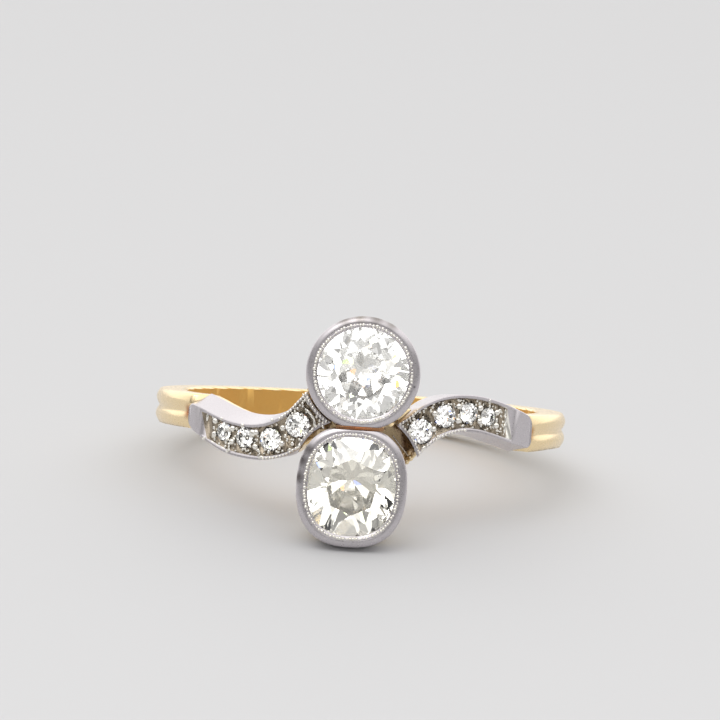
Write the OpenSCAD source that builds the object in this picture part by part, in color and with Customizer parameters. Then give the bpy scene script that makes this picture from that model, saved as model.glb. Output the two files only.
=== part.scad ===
// Toi et moi ring: a round and a cushion-shaped stone in milgrained platinum bezels on a reeded gold
// band, with S-shaped platinum shoulders set with graduated stones. Everything is built round the
// finger's axis (Z, heads towards -Y), and the finished ring is then laid on its side, resting on the
// lower bezel and on the back of the band. The origin is the bottom centre of the ring as it lies.

/* [Band] */
// Diameter of the hole for the finger
finger_d = 17; // [15:0.1:21]
// Width of the band along the finger
band_w = 1.6; // [1.3:0.05:2.2]
// Thickness of the band at the back
band_back_t = 1.2; // [0.95:0.05:1.7]
// Thickness of the band at the front
band_front_t = 1.55; // [1.3:0.05:2]
// How far the two reeds stand out of the groove between them
reed_h = 0.17; // [0.06:0.01:0.25]
// Bevel along the band's inner edges
inner_bevel = 0.1; // [0.05:0.01:0.2]
// Angle from the front at which the reeds begin to fade
reed_fade_from = 105; // [90:1:120]
// Angle from the front at which the back of the band is plain
plain_from = 140; // [130:1:160]
// Width of the gold saddle under the heads
saddle_w = 2.9; // [2.2:0.1:3.6]

/* [Shoulders] */
// Angle from the front to the tip of each shoulder
arm_reach = 52.5; // [48:0.5:58]
// How far a shoulder swings away from the middle of the band
arm_sway = 1.9; // [1.5:0.05:2.2]
// How much wider the left shoulder is at its foot, on its hollow side
left_lean = 0.42; // [0.1:0.02:0.6]
// How much wider the right shoulder is at its foot, on its hollow side
right_lean = 0.2; // [0.1:0.02:0.6]
// How much narrower a shoulder is at its foot, on its round side
wall_tuck = 0.08; // [0:0.02:0.2]
// Thickness of the gold under the shoulders
lining_t = 0.4; // [0.3:0.05:0.7]
// Height of a shoulder's face above the band's hole, at the tip
face_tip_h = 1.68; // [1.6:0.02:2.1]
// Height of a shoulder's face above the band's hole, beside the heads
face_head_h = 2.4; // [2.1:0.05:2.8]
// Length of the rounded corners at the shoulder's tip
tip_round = 0.5; // [0.3:0.05:1]
// Straight part of the tip, as a share of the shoulder's width there
tip_straight = 0.5; // [0.2:0.05:0.7]
// Depth of the recessed field that holds the small stones
field_depth = 0.14; // [0.06:0.01:0.2]
// Width of the raised border round the field
border_w = 0.17; // [0.1:0.01:0.25]
// How far the left shoulder's outer stones stand off its middle, away from its round side
left_stones_in = 0.14; // [0:0.01:0.16]

/* [Small stones] */
// Diameter of the small stone next to the heads
small_max_d = 1.16; // [0.9:0.02:1.3]
// Diameter of the small stone next to the tip
small_min_d = 0.86; // [0.6:0.02:1]
// Gap between neighbouring small stones on the left shoulder
left_gap = 0.45; // [0.3:0.01:0.5]
// Gap between neighbouring small stones on the right shoulder
right_gap = 0.3; // [0.2:0.01:0.4]
// Wall between the left shoulder's first seat and the gap round the lower bezel
left_end_wall = 0.12; // [0.03:0.01:0.3]
// Wall between the right shoulder's first seat and the gap round the lower bezel
right_end_wall = 0.04; // [0.03:0.01:0.2]
// Diameter of a raised grain that holds a small stone
grain_d = 0.32; // [0.2:0.01:0.36]

/* [Main stones] */
// Diameter of the round stone
upper_d = 4.4; // [3.8:0.05:5]
// Width of the cushion-shaped stone
lower_w = 4.24; // [3.8:0.05:4.8]
// Length of the cushion-shaped stone, along the finger
lower_l = 4.74; // [4:0.05:5.2]
// Squareness of the cushion: 2 is an ellipse, 4 is nearly a square
cushion_power = 2.36; // [2:0.02:3]
// Sideways shift of the lower head
lower_shift = -0.2; // [-0.3:0.02:0.3]
// Thickness of the main stones' girdle
girdle_t = 0.05; // [0.03:0.01:0.09]

/* [Bezels] */
// Height of the bezels' edge above the band's hole
head_rise = 3.8; // [3.6:0.05:4.4]
// Height of the platinum bezels
bezel_h = 1.6; // [1.4:0.05:1.8]
// Wall from the stone's girdle to the outside of the bezel
bezel_wall = 0.42; // [0.3:0.01:0.5]
// Radius of the milgrain ridge
milgrain_r = 0.065; // [0.04:0.005:0.09]
// How far the bezel's lip reaches over the stone
lip_over = 0.1; // [0.06:0.01:0.14]
// How much is filed off each bezel where the two meet
meeting_flat = 0.19; // [0.05:0.01:0.25]
// Gap between the two bezels
head_gap = 0.19; // [0.14:0.01:0.3]
// Height of the gold collets under the bezels
collet_h = 1.8; // [1.6:0.05:1.95]
// How much narrower a collet is at its foot
collet_taper = 0.65; // [0.4:0.05:0.8]

/* [Clearances] */
// Seam between gold and platinum, and round a seated stone
fit = 0.025; // [0.015:0.005:0.04]
// Gap between a shoulder and the upper bezel
upper_clear = 0.13; // [0.08:0.01:0.3]
// Gap between the left shoulder and the lower bezel
left_lower_clear = 0.22; // [0.15:0.01:0.4]
// Gap between the right shoulder and the lower bezel
right_lower_clear = 0.62; // [0.3:0.01:0.7]

/* [Hidden] */
// Sections of a shoulder, from the saddle to the tip: the share of its reach, and how far its round
// and its hollow edge lie on the round side of the band's middle, as shares of the sway
AT = 0;
ROUND_EDGE = 1;
HOLLOW_EDGE = 2;
left_edges = [
    [0, -0.4, -0.6],
    [0.15, 0.06, -0.92],
    [0.22, 0.35, -0.95],
    [0.28, 0.62, -0.65],
    [0.35, 0.84, -0.25],
    [0.42, 0.945, -0.02],
    [0.5, 0.99, 0.11],
    [0.6, 0.97, 0.14],
    [0.7, 0.9, 0.09],
    [0.8, 0.75, -0.02],
    [0.9, 0.57, -0.14],
    [1, 0.36, -0.24],
    [1.1, 0.12, -0.3]
];
right_edges = [
    [0, -0.4, -0.6],
    [0.15, 0.04, -0.92],
    [0.22, 0.31, -0.97],
    [0.28, 0.575, -0.64],
    [0.35, 0.765, -0.29],
    [0.42, 0.875, -0.1],
    [0.5, 0.92, 0.01],
    [0.6, 0.9, 0],
    [0.7, 0.82, -0.09],
    [0.8, 0.7, -0.2],
    [0.9, 0.56, -0.3],
    [1, 0.4, -0.4],
    [1.1, 0.2, -0.5]
];
// Each shoulder: its sections, its side (the left one is the right one's kind turned over), where its
// field ends near the tip, as a share of the reach, how far its first stone lies off the field's
// middle line, as a share of its diameter, the wall beside that stone, the gap between its stones,
// the gap to the lower bezel, how far its outer stones stand off its middle and the lean of its wall on
// the hollow side
EDGES = 0;
TURN = 1;
FIELD_END = 2;
FIRST_OFF = 3;
END_WALL = 4;
STONE_GAP = 5;
LOWER_CLEAR = 6;
STONES_IN = 7;
LEAN = 8;
left_arm = [
    left_edges, -1, 0.89, -0.02, left_end_wall, left_gap, left_lower_clear, left_stones_in, left_lean
];
right_arm = [right_edges, 1, 0.84, -0.05, right_end_wall, right_gap, right_lower_clear, 0, right_lean];

SMALL_COUNT = 4;

GOLD = [0.86, 0.68, 0.36];
PLATINUM = [0.76, 0.76, 0.77];
DIAMOND = [0.93, 0.94, 0.92];

finger_r = finger_d / 2;
seam_r = finger_r + lining_t;
rim_r = finger_r + head_rise;
bezel_base_r = rim_r - bezel_h;
band_r = finger_r + (band_back_t + band_front_t) / 2;
band_shift = (band_front_t - band_back_t) / 2;
tip_angle = tip_round / (finger_r + face_tip_h) * 180 / PI;
sunk = 2 * field_depth;

upper_half = upper_d / 2;
lower_half_w = lower_w / 2;
lower_half_l = lower_l / 2;
head_flat = head_gap / 2;
upper_z = head_flat - meeting_flat + upper_half + bezel_wall;
lower_z = -(head_flat - meeting_flat + lower_half_l + bezel_wall);

// Proportions of the old cuts, as shares of the stone's width
table_share = 0.54;
crown_share = 0.155;
pavilion_share = 0.43;
culet_share = 0.05;
star_drop = 0.42;
lower_half_rise = 0.4;
SMALL_GIRDLE = 0.03;
girdle_from_rim = 0.17 * bezel_h;
girdle_z = bezel_h - girdle_from_rim;

// The bezel's foot is drawn in a little, its ledge carries the stone, and its lip turns over the
// girdle to the milgrain ridge
foot_offset = 0.8 * bezel_wall;
seat_w = 0.72 * bezel_wall;
lip_h = 0.175 * bezel_h;
ridge_offset = 0.07 * bezel_wall;
lip_run = bezel_wall - ridge_offset - milgrain_r;
LIP_STEPS = 4;
LIP_TURN = 78;
collet_seat = 1.65 * seat_w;

// Numbers between 0 and 1 that rise smoothly from a to b
function rise(a, b, x) = let (t = min(1, max(0, (x - a) / (b - a)))) t * t * (3 - 2 * t);
function mix(a, b, t) = a + (b - a) * t;
function cross2(u, v) = u[0] * v[1] - u[1] * v[0];
function raised(p, z) = [p[0], p[1], z];

// A column of a section table, read as a smooth curve
function row_slope(t, c, i) =
    let (a = max(0, i - 1), b = min(len(t) - 1, i + 1)) (t[b][c] - t[a][c]) / (t[b][AT] - t[a][AT]);
function row_of(t, s, i = 0) = i >= len(t) - 2 || s < t[i + 1][AT] ? i : row_of(t, s, i + 1);
function curve(t, c, s) =
    let (
        i = row_of(t, s),
        w = t[i + 1][AT] - t[i][AT],
        u = (s - t[i][AT]) / w,
        m0 = row_slope(t, c, i) * w,
        m1 = row_slope(t, c, i + 1) * w
    )
    (2 * u * u * u - 3 * u * u + 1) * t[i][c] + (u * u * u - 2 * u * u + u) * m0
    + (3 * u * u - 2 * u * u * u) * t[i + 1][c] + (u * u * u - u * u) * m1;

// A shoulder is described with its round side up. The left one is turned over afterwards.
function round_edge(arm, a) = arm_sway * curve(arm[EDGES], ROUND_EDGE, a / arm_reach);
function hollow_edge(arm, a) = arm_sway * curve(arm[EDGES], HOLLOW_EDGE, a / arm_reach);
function round_foot(arm, a) = round_edge(arm, a) - wall_tuck;
function hollow_foot(arm, a) = hollow_edge(arm, a) - arm[LEAN];
function arm_middle(arm, a) = (round_edge(arm, a) + hollow_edge(arm, a)) / 2;
function field_middle(arm, a) = arm_middle(arm, a) - arm[STONES_IN] * rise(0.35, 0.6, a / arm_reach);
function face_r(a) = finger_r + mix(face_head_h, face_tip_h, rise(0.15, 1, a / arm_reach));

// Edges of the gold on one side of the ring, in the same sense. Under a shoulder the gold stands
// back a little from the foot, and beyond the tip it takes the band's own width.
lining_back = 2 * fit;
function gold_round(arm, a) =
    let (s = a / arm_reach, foot = max(band_w / 2, s < 1.1 ? round_foot(arm, a) - lining_back : 0))
    mix(saddle_w / 2, foot, rise(0, 0.22, s));
function gold_hollow(arm, a) =
    let (s = a / arm_reach, foot = hollow_foot(arm, min(a, arm_reach)) + lining_back)
    mix(-saddle_w / 2, mix(foot, -band_w / 2, rise(1, 1.35, s)), rise(0, 0.22, s));
function gold_top(a) = a >= 0 ? gold_round(right_arm, a) : -gold_hollow(left_arm, -a);
function gold_bottom(a) = a >= 0 ? gold_hollow(right_arm, a) : -gold_round(left_arm, -a);

// Outer radius of the band, which is thinner at the back, and its reeded profile
function outer_r(a) =
    let (y = band_shift * cos(a)) y + sqrt(band_r * band_r - band_shift * band_shift * sin(a) * sin(a));
function reeding(a) =
    rise(0.95, 1.15, abs(a) / arm_reach) * (1 - rise(reed_fade_from, plain_from, abs(a)));
function reed_drop(u, a) = reed_h * mix(u * u, 1 - sin(180 * abs(u)), reeding(a));
REED_STEPS = 6;
function band_profile(a) =
    let (lo = gold_bottom(a), hi = gold_top(a), mid = (lo + hi) / 2, half = (hi - lo) / 2, r = outer_r(a))
    concat(
        [[finger_r - sunk, lo + inner_bevel + sunk], [finger_r + inner_bevel, lo]],
        [for (k = [-REED_STEPS:REED_STEPS]) let (u = k / REED_STEPS) [r - reed_drop(u, a), mid + u * half]],
        [[finger_r + inner_bevel, hi], [finger_r - sunk, hi - inner_bevel - sunk]]
    );
function on_ring(a, p) = [p[0] * sin(a), -p[0] * cos(a), p[1]];

// Joins sections of equal length into one closed solid. A loop of sections has no ends.
module loft(sections, is_loop = false) {
    n = len(sections[0]);
    m = len(sections);
    last = is_loop ? m - 1 : m - 2;
    sides = [
        for (i = [0:last], j = [0:n - 1])
            let (i2 = (i + 1) % m, j2 = (j + 1) % n)
            each [[i * n + j, i * n + j2, i2 * n + j2], [i * n + j, i2 * n + j2, i2 * n + j]]
    ];
    ends = is_loop ? [] : [[for (j = [n - 1:-1:0]) j], [for (j = [0:n - 1]) (m - 1) * n + j]];
    polyhedron(points = [for (s = sections) each s], faces = concat(sides, ends), convexity = 6);
}

module at_angle(a, r, z) {
    rotate([0, 0, a]) translate([0, -r, z]) rotate([90, 0, 0]) children();
}

// The left shoulder and its stones are the right ones' shapes turned half round
module on_left() {
    rotate([0, 180, 0]) children();
}

module at_upper_head() {
    translate([0, -bezel_base_r, upper_z]) rotate([90, 0, 0]) children();
}

module at_lower_head() {
    translate([lower_shift, -bezel_base_r, lower_z]) rotate([90, 0, 0]) children();
}

// Cushion outline and its outward direction at an angle, and the outline set off by d
function cushion_r(t, a, b) =
    1 / pow(pow(abs(cos(t)) / a, cushion_power) + pow(abs(sin(t)) / b, cushion_power), 1 / cushion_power);
function cushion_pt(t, a, b) = cushion_r(t, a, b) * [cos(t), sin(t)];
function cushion_out(t, a, b) =
    let (d = cushion_pt(t + 0.5, a, b) - cushion_pt(t - 0.5, a, b)) [d[1], -d[0]] / norm(d);
function cushion_off(t, d) =
    cushion_pt(t, lower_half_w, lower_half_l) + d * cushion_out(t, lower_half_w, lower_half_l);

// Sweeps a profile of [offset, height] points round the cushion outline
module cushion_sweep(profile, steps) {
    sections = [
        for (i = [0:steps - 1])
            let (t = 360 * i / steps)
            [for (p = profile) raised(cushion_off(t, p[0]), p[1])]
    ];
    loft(sections, is_loop = true);
}

CUSHION_STEPS = 48;
function cushion_ring(d, z) =
    [for (i = [0:CUSHION_STEPS - 1]) raised(cushion_off(360 * i / CUSHION_STEPS, d), z)];
module cushion_prism(offset_low, offset_high, z_low, z_high) {
    loft([cushion_ring(offset_high, z_high), cushion_ring(offset_low, z_low)]);
}

// Bezel wall as [offset from the girdle, height above the bezel's base]
function bezel_profile() =
    concat(
        [[-seat_w, 0], [foot_offset, 0], [bezel_wall, bezel_h - lip_h]],
        [
            for (k = [1:LIP_STEPS])
                let (q = LIP_TURN * k / LIP_STEPS)
                [bezel_wall - lip_run * (1 - cos(q)), bezel_h - lip_h + (lip_h - milgrain_r / 2) * sin(q)]
        ],
        [for (q = [0:45:180]) [ridge_offset + milgrain_r * cos(q), bezel_h - milgrain_r * (1 - sin(q))]],
        [
            [-lip_over, bezel_h - 1.5 * milgrain_r],
            [-lip_over, girdle_z + fit + lip_over],
            [fit, girdle_z + fit],
            [fit, girdle_z - girdle_t - fit],
            [-seat_w, girdle_z - girdle_t - fit - seat_w]
        ]
    );

// A stone with a table, eight stars, eight kites, sixteen upper and lower halves, eight pavilion
// mains and a culet. Its girdle's top is at z = 0. The outline is round unless l differs from w.
function girdle_pt(w, l, t) = w == l ? w / 2 * [cos(t), sin(t)] : cushion_pt(t, w / 2, l / 2);
function meet(p, u, q, v) = p + u * cross2(q - p, v) / cross2(u, v);
function facet_line(w, l, i, share) =
    let (
        t = 45 * i,
        g = girdle_pt(w, l, t),
        along = girdle_pt(w, l, t + 22.5) - girdle_pt(w, l, t - 22.5)
    )
    [g * share, along];
function facet_meet(w, l, i, share) =
    let (p = facet_line(w, l, i, share), q = facet_line(w, l, i + 1, share))
    meet(p[0], p[1], q[0], q[1]);
module brilliant(w, l, girdle) {
    crown_h = w * crown_share;
    pavilion_h = w * pavilion_share;
    star_z = crown_h * (1 - star_drop);
    star_at = mix(1, table_share, star_z / crown_h);
    half_z = -girdle - pavilion_h * (1 - lower_half_rise);
    culet_z = -girdle - pavilion_h * (1 - culet_share);
    eight = [0:7];
    points = concat(
        [for (i = eight) raised(girdle_pt(w, l, 45 * i) * table_share, crown_h)],
        [for (i = eight) raised(facet_meet(w, l, i, star_at), star_z)],
        [for (i = [0:15]) raised(girdle_pt(w, l, 22.5 * i), 0)],
        [for (i = [0:15]) raised(girdle_pt(w, l, 22.5 * i), -girdle)],
        [for (i = eight) raised(facet_meet(w, l, i, lower_half_rise), half_z)],
        [for (i = eight) raised(facet_meet(w, l, i, culet_share), culet_z)]
    );
    table = 0;
    star = 8;
    top = 16;
    under = 32;
    half = 48;
    culet = 56;
    faces = concat(
        [[for (i = [7:-1:0]) table + i]],
        [for (i = eight) [table + i, table + (i + 1) % 8, star + i]],
        [for (i = eight) [table + i, star + i, top + 2 * i, star + (i + 7) % 8]],
        [for (i = eight) [star + i, top + 2 * i + 1, top + 2 * i]],
        [for (i = eight) [star + i, top + (2 * i + 2) % 16, top + 2 * i + 1]],
        [for (i = [0:15]) [top + i, top + (i + 1) % 16, under + (i + 1) % 16, under + i]],
        [for (i = eight) [half + i, under + 2 * i, under + 2 * i + 1]],
        [for (i = eight) [half + i, under + 2 * i + 1, under + (2 * i + 2) % 16]],
        [
            for (i = eight)
                let (h = (i + 7) % 8)
                [culet + h, half + h, under + 2 * i, half + i, culet + i]
        ],
        [[for (i = eight) culet + i]]
    );
    polyhedron(points = points, faces = faces, convexity = 2);
}

// The space that a round stone and its clearance take up, for cutting seats
module stone_space(d) {
    r = d / 2 + fit;
    small_girdle = d * SMALL_GIRDLE;
    rotate_extrude($fn = 28)
        polygon([
            [0, -small_girdle - d * pavilion_share - 2 * fit],
            [r, -small_girdle - fit],
            [r, fit],
            [r - d * crown_share, fit + d * crown_share],
            [r - d * crown_share, d],
            [0, d]
        ]);
}

// The first small stone's seat keeps its wall from the gaps round the heads, and the others stand a
// gap apart along the middle line of the field
function small_d(i) = mix(small_max_d, small_min_d, i / (SMALL_COUNT - 1));
function floor_r(a) = face_r(a) - field_depth;
function spot_z(arm, i, a) = field_middle(arm, a) + (i == 0 ? arm[FIRST_OFF] * small_d(0) : 0);
function spot(arm, i, a) = on_ring(a, [floor_r(a), spot_z(arm, i, a)]);
function upper_room(x, z) = norm([x, z - upper_z]) - upper_half - bezel_wall - upper_clear;
function lower_room(x, z, clear) =
    let (p = [x - lower_shift, z - lower_z])
    norm(p) - cushion_r(atan2(p[1], p[0]), lower_half_w, lower_half_l) - bezel_wall - clear;
function head_room(arm, p) =
    let (x = arm[TURN] * p[0], z = arm[TURN] * p[2])
    min(upper_room(x, z), lower_room(x, z, arm[LOWER_CLEAR]));
PLACE_TRIES = 8;
function turned_by(distance, a) = distance / floor_r(a) * 180 / PI;
function first_angle(arm, a, tries = PLACE_TRIES) =
    tries == 0 ? a
    : let (short = small_d(0) / 2 + fit + arm[END_WALL] - head_room(arm, spot(arm, 0, a)))
        first_angle(arm, a + turned_by(short, a), tries - 1);
function next_angle(arm, i, from, a, distance, tries = PLACE_TRIES) =
    tries == 0 ? a
    : let (short = distance - norm(spot(arm, i, a) - from))
        next_angle(arm, i, from, a + turned_by(short, a), distance, tries - 1);
function small_angle(arm, i) =
    i == 0 ? first_angle(arm, arm_reach / 3)
    : let (
        before = small_angle(arm, i - 1),
        apart = (small_d(i - 1) + small_d(i)) / 2 + arm[STONE_GAP]
    )
        next_angle(arm, i, spot(arm, i - 1, before), before + turned_by(apart, before), apart);

module at_small(arm, i) {
    a = small_angle(arm, i);
    at_angle(a, floor_r(a), spot_z(arm, i, a)) children();
}

// Outer form of a shoulder with its rounded tip. Grown by a clearance, it is the space that the
// shoulder takes out of the gold, which on the hollow side is as wide at the top as at the foot.
ARM_STEPS = 24;
TIP_STEPS = 5;
TIP_TURN = 84;
arm_start = 0.07 * arm_reach;
soft_edge = border_w / 4;
function arm_angles() =
    let (tip_from = arm_reach - tip_angle)
    concat(
        [for (k = [0:ARM_STEPS]) mix(arm_start, tip_from, k / ARM_STEPS)],
        [for (k = [1:TIP_STEPS]) tip_from + tip_angle * sin(TIP_TURN * k / TIP_STEPS)]
    );
function tip_factor(a) =
    let (u = max(0, (a - arm_reach + tip_angle) / tip_angle)) mix(tip_straight, 1, sqrt(1 - u * u * u));
function arm_section(arm, a, grow) =
    let (
        f = tip_factor(a),
        mid = arm_middle(arm, a),
        face_hi = mix(mid, round_edge(arm, a), f) + grow,
        foot_hi = mix(mid, round_foot(arm, a), f) + grow,
        foot_lo = hollow_foot(arm, a) - grow,
        face_lo = grow > 0 ? foot_lo : mix(mid, hollow_edge(arm, a), f),
        low = seam_r + fit / 2 - grow,
        high = face_r(a) + (grow > 0 ? sunk : 0)
    )
    [
        [low, foot_lo], [high - soft_edge, face_lo], [high, face_lo + soft_edge],
        [high, face_hi - soft_edge], [high - soft_edge, face_hi], [low, foot_hi]
    ];
module arm_form(arm, grow = 0) {
    stretch = grow / face_r(arm_reach) * 180 / PI;
    loft([
        for (a = arm_angles())
            let (b = a + stretch * rise(arm_reach / 2, arm_reach, a))
            [for (p = arm_section(arm, a, grow)) on_ring(b, p)]
    ]);
}

// Recessed field of a shoulder, with a slanting end wall near the tip
FIELD_STEPS = 20;
module arm_field(arm) {
    slope = field_depth * 2.2 / face_r(arm_reach) * 180 / PI;
    stop = arm[FIELD_END] * arm_reach;
    draft = border_w / 4;
    angles = concat(
        [for (k = [0:FIELD_STEPS]) mix(arm_start, stop - slope, k / FIELD_STEPS)],
        [stop + slope / 4]
    );
    loft([
        for (a = angles)
            let (
                r = floor_r(a) + (a > stop ? field_depth * 1.25 : 0),
                hi = round_edge(arm, a) - border_w,
                lo = hollow_edge(arm, a) + border_w
            )
            [for (p = [[r, lo], [r + sunk, lo - draft], [r + sunk, hi + draft], [r, hi]]) on_ring(a, p)]
    ]);
}

// Space round the heads that the shoulders keep clear of
module head_space(lower_clear, grow = 0) {
    depth = bezel_base_r - finger_r + sunk;
    lower_off = bezel_wall + lower_clear + grow;
    at_upper_head()
        translate([0, 0, -depth])
            cylinder(r = upper_half + bezel_wall + upper_clear + grow, h = depth + bezel_h, $fn = 72);
    at_lower_head() cushion_prism(lower_off, lower_off, -depth, bezel_h);
}

// Grains stand in pairs between the stones and between the last stone and the field's end
module grains(arm) {
    for (i = [1:SMALL_COUNT], side = [-1, 1]) {
        before = small_angle(arm, i - 1);
        after = small_angle(arm, min(SMALL_COUNT - 1, i));
        d = small_d(min(SMALL_COUNT - 1, i));
        past_end = (d + arm[STONE_GAP]) * 0.4 / face_r(after) * 180 / PI;
        a = i == SMALL_COUNT ? after + past_end : (before + after) / 2;
        z = field_middle(arm, a) + side * (d * 0.28 + grain_d * 0.2);
        hull() {
            at_angle(a, floor_r(a) + grain_d * 0.2, z) sphere(d = grain_d, $fn = 14);
            at_angle(a, floor_r(a) - grain_d, z) sphere(d = grain_d, $fn = 8);
        }
    }
}

// The first child is the space round the heads, the second the same grown by the border. Over each
// stone the border is cut straight up, and only the grains reach over its edge.
module shoulder(arm) {
    color(PLATINUM)
        difference() {
            union() {
                difference() {
                    arm_form(arm);
                    difference() {
                        arm_field(arm);
                        children(1);
                    }
                    for (i = [0:SMALL_COUNT - 1])
                        at_small(arm, i) cylinder(d = small_d(i) + 3 * fit, h = small_d(i), $fn = 28);
                }
                grains(arm);
            }
            children(0);
            for (i = [0:SMALL_COUNT - 1]) at_small(arm, i) stone_space(small_d(i));
        }
}

module left_shoulder() {
    on_left()
        shoulder(left_arm) {
            on_left() head_space(left_lower_clear);
            on_left() head_space(left_lower_clear, border_w);
        }
}

module right_shoulder() {
    shoulder(right_arm) {
        head_space(right_lower_clear);
        head_space(right_lower_clear, border_w);
    }
}

module upper_bezel() {
    color(PLATINUM)
        intersection() {
            at_upper_head()
                rotate_extrude($fn = 96) polygon([for (p = bezel_profile()) [upper_half + p[0], p[1]]]);
            translate([0, -rim_r, head_flat + upper_d]) cube([2, 1, 2] * upper_d, center = true);
        }
}

module lower_bezel() {
    color(PLATINUM)
        intersection() {
            at_lower_head() cushion_sweep(bezel_profile(), 72);
            translate([0, -rim_r, -head_flat - lower_l]) cube([2, 1, 2] * lower_l, center = true);
        }
}

module upper_diamond() {
    color(DIAMOND) at_upper_head() translate([0, 0, girdle_z]) brilliant(upper_d, upper_d, girdle_t);
}

module lower_diamond() {
    color(DIAMOND) at_lower_head() translate([0, 0, girdle_z]) brilliant(lower_w, lower_l, girdle_t);
}

module small_diamond(arm, i) {
    color(DIAMOND) at_small(arm, i) brilliant(small_d(i), small_d(i), small_d(i) * SMALL_GIRDLE);
}

// Angles of the band's sections: close together under the shoulders, wider round the back
FRONT_STEPS = 18;
BACK_STEPS = 30;
front_to = arm_reach * 1.25;
function band_angles() =
    concat(
        [for (k = [-FRONT_STEPS:FRONT_STEPS]) front_to * k / FRONT_STEPS],
        [for (k = [1:BACK_STEPS - 1]) mix(front_to, 360 - front_to, k / BACK_STEPS)]
    );
function signed(a) = a > 180 ? a - 360 : a;

module gold_band() {
    loft([for (a = band_angles()) [for (p = band_profile(signed(a))) on_ring(a, p)]], is_loop = true);
}

// Gold under the heads: two tapered collets and the thin plate between the bezels
module collets() {
    top = -fit;
    collet_r = upper_half + foot_offset;
    at_upper_head()
        translate([0, 0, -collet_h])
            cylinder(r1 = collet_r - collet_taper, r2 = collet_r, h = collet_h + top, $fn = 72);
    at_lower_head() cushion_prism(foot_offset - collet_taper, foot_offset, -collet_h, top);
    plate_w = upper_half;
    translate([-plate_w / 2, -rim_r + lip_h + milgrain_r, fit - head_flat])
        cube([plate_w, bezel_h + collet_h / 2, head_gap - 2 * fit]);
}

module collet_holes() {
    foot_r = upper_half - collet_seat - collet_taper;
    deep = collet_h + sunk;
    at_upper_head()
        translate([0, 0, -deep]) cylinder(r1 = foot_r, r2 = upper_half - seat_w, h = deep, $fn = 72);
    at_lower_head() cushion_prism(-collet_seat - collet_taper, -seat_w, -deep, 0);
}

module gold_mount() {
    color(GOLD)
        difference() {
            union() {
                difference() {
                    gold_band();
                    difference() {
                        arm_form(right_arm, fit);
                        head_space(right_lower_clear, -fit);
                    }
                    difference() {
                        on_left() arm_form(left_arm, fit);
                        head_space(left_lower_clear, -fit);
                    }
                }
                collets();
            }
            collet_holes();
            cylinder(r = finger_r, h = 4 * band_w + saddle_w, center = true, $fn = 120);
        }
}

// The ring lies on the back of the band and on the foot or the edge of the lower bezel
back_r = outer_r(180) - reed_h;
function lowest(offset_out) = lower_z - lower_half_l - offset_out;
contacts = [[bezel_base_r, lowest(foot_offset)], [rim_r - lip_h, lowest(bezel_wall)]];
lie_angle = max([for (c = contacts) atan((-c[1] - band_w / 2) / (c[0] + back_r))]);
function laid(p) = [p * [cos(lie_angle), sin(lie_angle)], p * [-sin(lie_angle), cos(lie_angle)]];
back_low = laid([back_r, -band_w / 2]);
back_far = laid([back_r, band_w / 2]);
crown_out = rim_r - girdle_from_rim + lower_w * crown_share;
front_far = laid([-crown_out, lower_z - lower_half_l * table_share]);
module laid_down() {
    translate([0, -(back_far[0] + front_far[0]) / 2, -back_low[1]]) rotate([-lie_angle, 0, 0]) children();
}

laid_down() gold_mount();
laid_down() left_shoulder();
laid_down() right_shoulder();
laid_down() upper_bezel();
laid_down() lower_bezel();
laid_down() upper_diamond();
laid_down() lower_diamond();
for (i = [1:SMALL_COUNT]) {
    laid_down() on_left() small_diamond(left_arm, i - 1);
    laid_down() small_diamond(right_arm, i - 1);
}
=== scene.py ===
"""Looks of a toi et moi ring that lies on its side: two milgrained platinum heads on a reeded
gold band, with S-shaped platinum shoulders set with small old-cut stones.

Classes hold their sizes in millimetres, and meshes are in metres.
"""

import logging
import math
import random
from collections.abc import Iterable
from dataclasses import dataclass
from enum import Enum
from math import asin, atan2, cos, pi, radians, sin

import bpy
from mathutils import Matrix, Vector


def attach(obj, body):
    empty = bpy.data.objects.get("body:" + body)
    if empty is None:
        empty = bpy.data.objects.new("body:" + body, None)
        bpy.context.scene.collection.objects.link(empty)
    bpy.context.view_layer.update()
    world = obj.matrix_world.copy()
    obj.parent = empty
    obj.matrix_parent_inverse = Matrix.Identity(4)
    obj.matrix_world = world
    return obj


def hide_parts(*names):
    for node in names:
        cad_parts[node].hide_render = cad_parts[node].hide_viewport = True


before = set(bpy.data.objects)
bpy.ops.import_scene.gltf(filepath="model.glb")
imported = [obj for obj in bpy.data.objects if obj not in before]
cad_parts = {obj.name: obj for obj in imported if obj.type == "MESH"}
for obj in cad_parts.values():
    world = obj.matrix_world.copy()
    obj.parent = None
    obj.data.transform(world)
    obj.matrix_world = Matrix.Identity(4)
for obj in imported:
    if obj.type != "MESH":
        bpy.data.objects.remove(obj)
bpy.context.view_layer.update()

Piece = bpy.types.Object
Node = bpy.types.Node
Socket = bpy.types.NodeSocket
Tree = bpy.types.NodeTree
Spot = tuple[float, float, float]
Span = tuple[float, float]
Plane = tuple[Vector, Vector]

LOG = logging.getLogger("ring")
MM = 0.001
MERGE_MM = 0.0005
NO_LENGTH = 1e-9

# The ring is described round its finger's axis (Z, heads towards -Y) and then laid on its side
FINGER_R = 8.5
RIM_R = 12.3
BEZEL_H = 1.6
BEZEL_BASE_R = RIM_R - BEZEL_H
LIE_DEG = 12.8131
LIE_SHIFT = (0, 1.89036, 2.89356)
LAID = Matrix.Translation(LIE_SHIFT) @ Matrix.Rotation(-radians(LIE_DEG), 4, "X")
TO_ROW = Matrix.Scale(MM, 4) @ LAID
TO_RING = TO_ROW.inverted()
# Turns a head, modelled flat, to look forwards
FACE_OUT = Matrix.Rotation(radians(90), 4, "X")

# The heads' walls, and how far from the middle they are filed flat where they meet
BEZEL_WALL = 0.42
HEAD_FLAT = 0.095

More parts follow.
